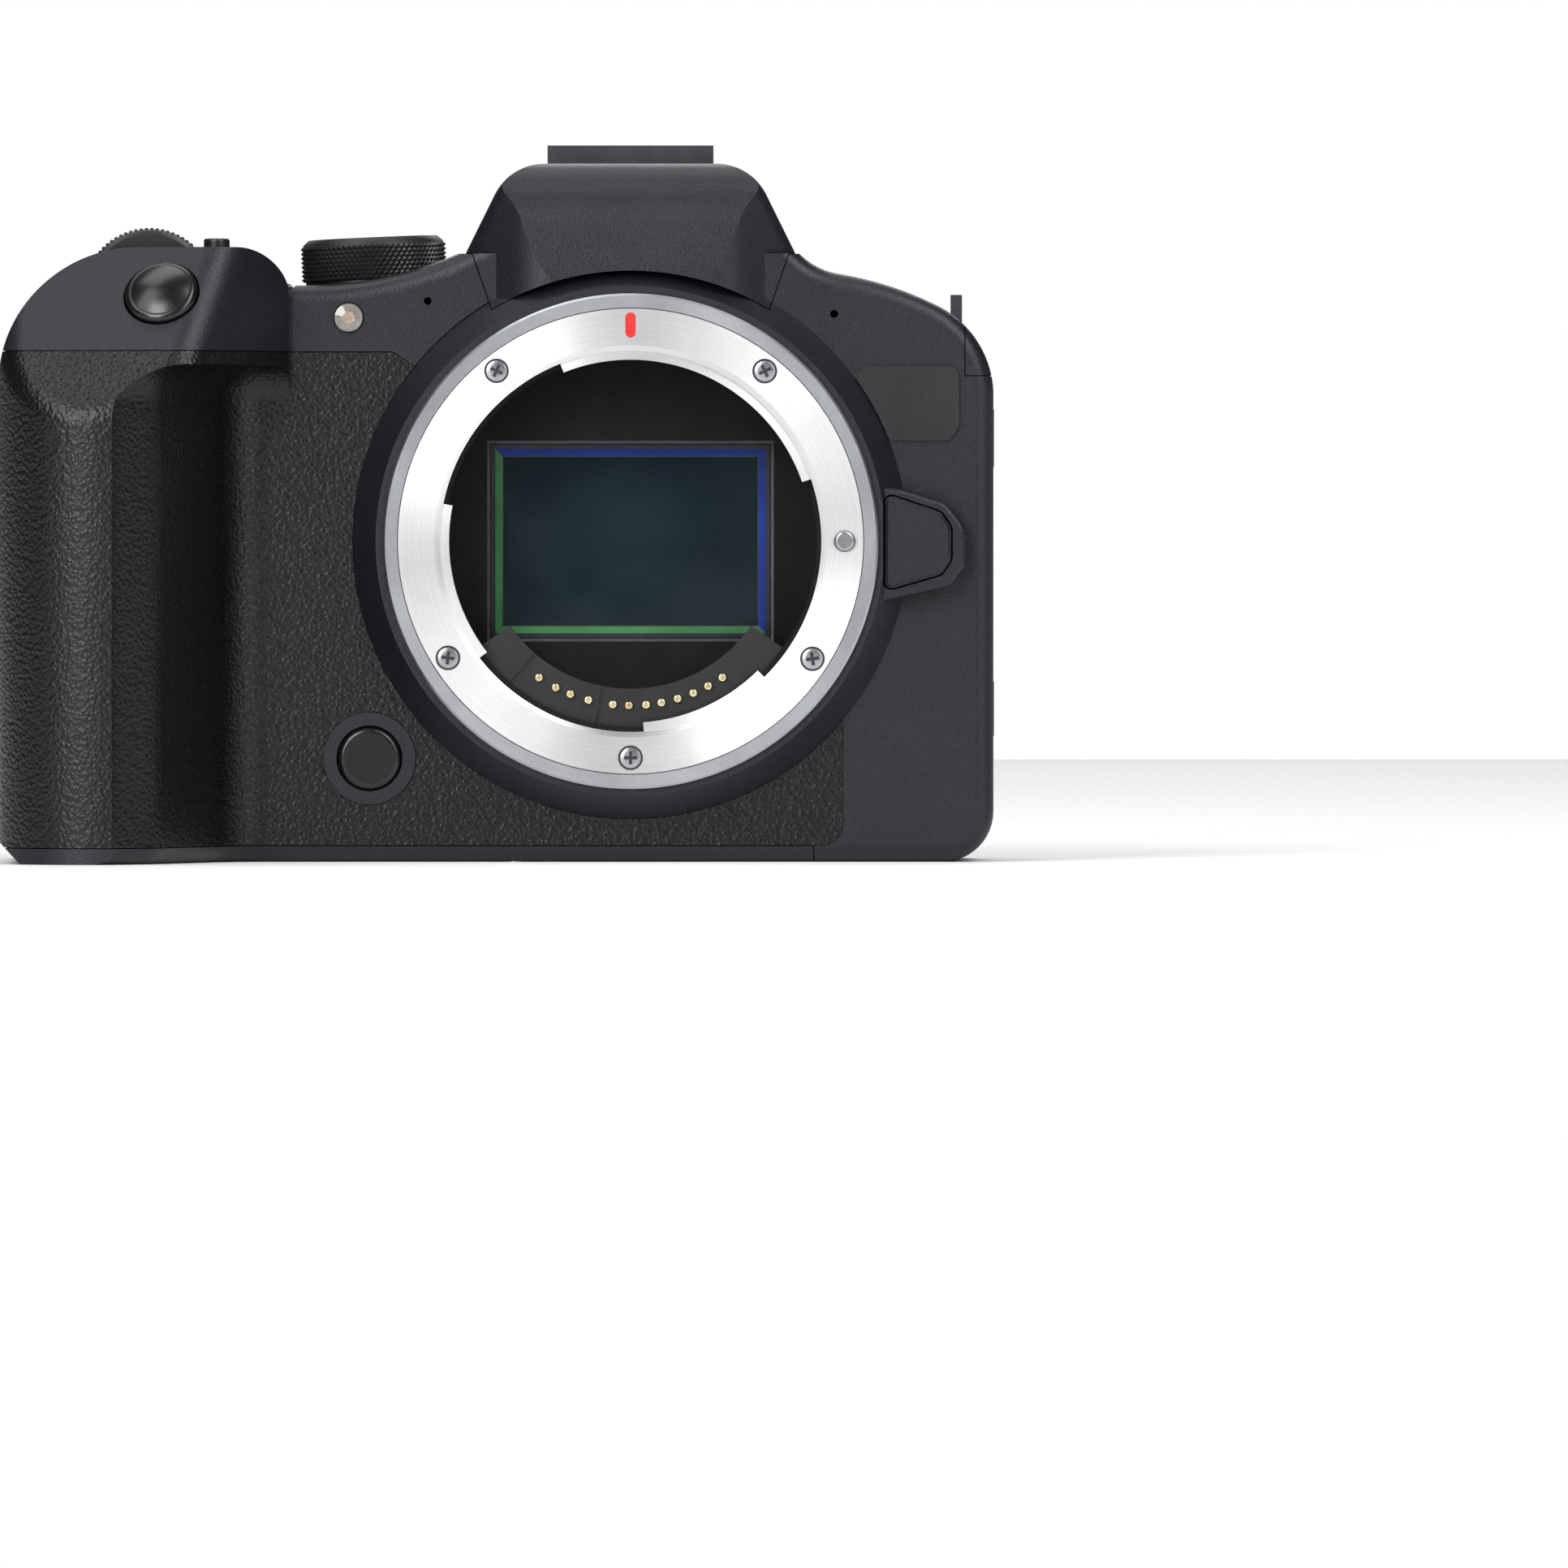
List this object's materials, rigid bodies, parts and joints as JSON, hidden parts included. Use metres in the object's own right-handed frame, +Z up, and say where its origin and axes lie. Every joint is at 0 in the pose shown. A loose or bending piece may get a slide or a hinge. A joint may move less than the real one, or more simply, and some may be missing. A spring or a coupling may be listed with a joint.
{
  "type": "camera body",
  "caption": "Interchangeable-lens stills camera body without a lens: deep hand grip, viewfinder hump, open lens mount with the sensor in view, dials, keys, swing-out screen and doors.",
  "frame": {"origin": "centre of the tripod socket's mouth in the base, straight below the lens axis", "axes": "+X towards the connector side (along the long side), -Y out of the lens mount, +Z up"},
  "size_m": [0.1382, 0.087, 0.0999],
  "materials": {
    "painted_magnesium": "matte fine texture paint",
    "leatherette": "pebbled",
    "moulded_rubber": "matte",
    "stainless_steel": "circular brushed",
    "steel_screw": "satin",
    "anodised_aluminium": "anodised satin",
    "black_plastic": "matte",
    "gloss_plastic": "gloss",
    "chassis_alloy": "cast",
    "gold_contact": "plated",
    "circuit_board": "solder mask",
    "sensor_glass": "coated",
    "clear_glass": "clear",
    "blade_metal": "matte",
    "battery_case": "matte"
  },
  "bodies": {
    "camera": {"front_cover": "painted_magnesium", "rear_cover": "painted_magnesium", "top_cover": "painted_magnesium", "shoulder_cover": "painted_magnesium", "viewfinder_cover": "painted_magnesium", "base_plate": "painted_magnesium", "grip_leather": "leatherette", "thumb_rubber": "leatherette", "badge_plate": "painted_magnesium", "lens_mount_ring": "stainless_steel", "mount_screws": "steel_screw", "mount_bezel": "anodised_aluminium", "light_baffle": "black_plastic", "contact_block": "black_plastic", "contact_pins": "gold_contact", "shutter_frame": "black_plastic", "chassis_frame": "chassis_alloy", "main_board": "circuit_board", "battery": "battery_case", "card_slot_unit": "stainless_steel", "memory_cards": "black_plastic", "terminal_sockets": "stainless_steel", "eyepiece_frame": "black_plastic", "eyepiece_lens": "clear_glass", "eyecup": "moulded_rubber", "hot_shoe": "stainless_steel", "strap_lugs": "steel_screw", "af_lamp": "clear_glass", "tripod_socket": "stainless_steel"},
    "lock_pin": {"lens_lock_pin": "steel_screw"},
    "release_button": {"lens_release_button": "painted_magnesium"},
    "shift_stage": {"sensor_shift_stage": "chassis_alloy"},
    "sensor": {"sensor_carrier": "chassis_alloy", "sensor_chip": "sensor_glass"},
    "blade_1": {"shutter_blade_1": "blade_metal"},
    "blade_2": {"shutter_blade_2": "blade_metal"},
    "blade_3": {"shutter_blade_3": "blade_metal"},
    "preview_key": {"preview_button": "gloss_plastic"},
    "shutter_key": {"shutter_button": "gloss_plastic"},
    "function_key": {"function_button": "black_plastic"},
    "movie_key": {"movie_button": "black_plastic"},
    "front_dial": {"main_dial": "black_plastic"},
    "mode_selector": {"mode_dial": "black_plastic"},
    "rear_top_dial": {"top_dial": "black_plastic"},
    "power_lever": {"power_switch": "black_plastic"},
    "wheel": {"rear_wheel": "black_plastic"},
    "set_key": {"set_button": "black_plastic"},
    "multi_controller": {"joystick": "moulded_rubber"},
    "af_on_key": {"af_on_button": "black_plastic"},
    "ae_lock_key": {"ae_lock_button": "black_plastic"},
    "af_point_key": {"af_point_button": "black_plastic"},
    "menu_key": {"menu_button": "black_plastic"},
    "playback_key": {"playback_button": "black_plastic"},
    "erase_key": {"erase_button": "black_plastic"},
    "screen": {"lcd_hinge": "black_plastic", "lcd_panel": "black_plastic"},
    "battery_lid": {"battery_door": "black_plastic"},
    "card_lid": {"card_door": "black_plastic"},
    "upper_flap": {"terminal_cover_upper": "moulded_rubber"},
    "lower_flap": {"terminal_cover_lower": "moulded_rubber"}
  },
  "joints": [
    {"name": "lens_release_press", "type": "slide", "parent": "camera", "child": "release_button", "axis": [0, 1, 0], "range_m": [0, 0.002], "stiffness_N_per_m": 400, "springref_m": -0.001},
    {"name": "lens_lock_pin_draw", "type": "slide", "parent": "camera", "child": "lock_pin", "axis": [0, 1, 0], "range_m": [0, 0.0018]},
    {"name": "sensor_shift_x", "type": "slide", "parent": "camera", "child": "shift_stage", "axis": [1, 0, 0], "range_m": [-0.001, 0.001], "stiffness_N_per_m": 200},
    {"name": "sensor_shift_z", "type": "slide", "parent": "shift_stage", "child": "sensor", "axis": [0, 0, 1], "range_m": [-0.001, 0.001], "stiffness_N_per_m": 3000, "springref_m": 0.0001},
    {"name": "shutter_lead_blade", "type": "slide", "parent": "camera", "child": "blade_1", "axis": [0, 0, 1], "range_m": [0, 0.0284]},
    {"name": "shutter_second_blade", "type": "slide", "parent": "camera", "child": "blade_2", "axis": [0, 0, 1], "range_m": [0, 0.0192]},
    {"name": "shutter_third_blade", "type": "slide", "parent": "camera", "child": "blade_3", "axis": [0, 0, 1], "range_m": [0, 0.0098]},
    {"name": "preview_press", "type": "slide", "parent": "camera", "child": "preview_key", "axis": [0, 1, 0], "range_m": [0, 0.001], "stiffness_N_per_m": 300, "springref_m": -0.001},
    {"name": "shutter_press", "type": "slide", "parent": "camera", "child": "shutter_key", "axis": [0.1602, 0.7909, -0.5907], "range_m": [0, 0.0012], "stiffness_N_per_m": 300, "springref_m": -0.001},
    {"name": "function_press", "type": "slide", "parent": "camera", "child": "function_key", "axis": [0, 0, -1], "range_m": [0, 0.0006], "stiffness_N_per_m": 300, "springref_m": -0.001},
    {"name": "movie_press", "type": "slide", "parent": "camera", "child": "movie_key", "axis": [0, 0, -1], "range_m": [0, 0.0006], "stiffness_N_per_m": 300, "springref_m": -0.001},
    {"name": "main_dial_turn", "type": "hinge", "parent": "camera", "child": "front_dial", "pos_m": [-0.0668, -0.016, 0.0789], "axis": [0, 1, 0], "continuous": true},
    {"name": "mode_dial_turn", "type": "hinge", "parent": "camera", "child": "mode_selector", "pos_m": [-0.0357, 0.002, 0.0802], "axis": [-0.0436, 0, 0.999], "continuous": true},
    {"name": "top_dial_turn", "type": "hinge", "parent": "camera", "child": "rear_top_dial", "pos_m": [-0.067, 0.012, 0.08], "axis": [0, 0, 1], "continuous": true},
    {"name": "power_turn", "type": "hinge", "parent": "camera", "child": "power_lever", "pos_m": [-0.0523, 0.0145, 0.08], "axis": [0, 0, 1], "range_deg": [-30, 0]},
    {"name": "rear_wheel_turn", "type": "hinge", "parent": "camera", "child": "wheel", "pos_m": [-0.055, 0.024, 0.03], "axis": [0, 1, 0], "continuous": true},
    {"name": "set_press", "type": "slide", "parent": "camera", "child": "set_key", "axis": [0, -1, 0], "range_m": [0, 0.0006], "stiffness_N_per_m": 300, "springref_m": -0.001},
    {"name": "joystick_tilt", "type": "hinge", "parent": "camera", "child": "multi_controller", "pos_m": [-0.039, 0.024, 0.057], "axis": [1, 0, 0], "range_deg": [-8, 8], "stiffness_Nm_per_rad": 0.01},
    {"name": "af_on_press", "type": "slide", "parent": "camera", "child": "af_on_key", "axis": [0, -1, 0], "range_m": [0, 0.0006], "stiffness_N_per_m": 300, "springref_m": -0.001},
    {"name": "ae_lock_press", "type": "slide", "parent": "camera", "child": "ae_lock_key", "axis": [0, -1, 0], "range_m": [0, 0.0006], "stiffness_N_per_m": 300, "springref_m": -0.001},
    {"name": "af_point_press", "type": "slide", "parent": "camera", "child": "af_point_key", "axis": [0, -1, 0], "range_m": [0, 0.0006], "stiffness_N_per_m": 300, "springref_m": -0.001},
    {"name": "menu_press", "type": "slide", "parent": "camera", "child": "menu_key", "axis": [0, -1, 0], "range_m": [0, 0.0006], "stiffness_N_per_m": 300, "springref_m": -0.001},
    {"name": "playback_press", "type": "slide", "parent": "camera", "child": "playback_key", "axis": [0, -1, 0], "range_m": [0, 0.0006], "stiffness_N_per_m": 300, "springref_m": -0.001},
    {"name": "erase_press", "type": "slide", "parent": "camera", "child": "erase_key", "axis": [0, -1, 0], "range_m": [0, 0.0006], "stiffness_N_per_m": 300, "springref_m": -0.001},
    {"name": "screen_swing", "type": "hinge", "parent": "camera", "child": "screen", "pos_m": [0.0475, 0.022, 0.032], "axis": [0, 0, -1], "range_deg": [0, 175]},
    {"name": "battery_door_swing", "type": "hinge", "parent": "camera", "child": "battery_lid", "pos_m": [-0.073, 0.0154, 0.0011], "axis": [1, 0, 0], "range_deg": [0, 90]},
    {"name": "card_door_swing", "type": "hinge", "parent": "camera", "child": "card_lid", "pos_m": [-0.0863, 0.0186, 0.035], "axis": [0, 0, -1], "range_deg": [0, 90]},
    {"name": "upper_flap_swing", "type": "hinge", "parent": "camera", "child": "upper_flap", "pos_m": [0.0508, -0.006, 0.053], "axis": [0, 0, -1], "range_deg": [0, 105]},
    {"name": "lower_flap_swing", "type": "hinge", "parent": "camera", "child": "lower_flap", "pos_m": [0.0508, -0.006, 0.026], "axis": [0, 0, -1], "range_deg": [0, 105]}
  ],
  "couplings": [
    {"joint": "lens_lock_pin_draw", "follows": "lens_release_press", "ratio": 0.9},
    {"joint": "shutter_second_blade", "follows": "shutter_lead_blade", "ratio": 0.676},
    {"joint": "shutter_third_blade", "follows": "shutter_lead_blade", "ratio": 0.345}
  ]
}
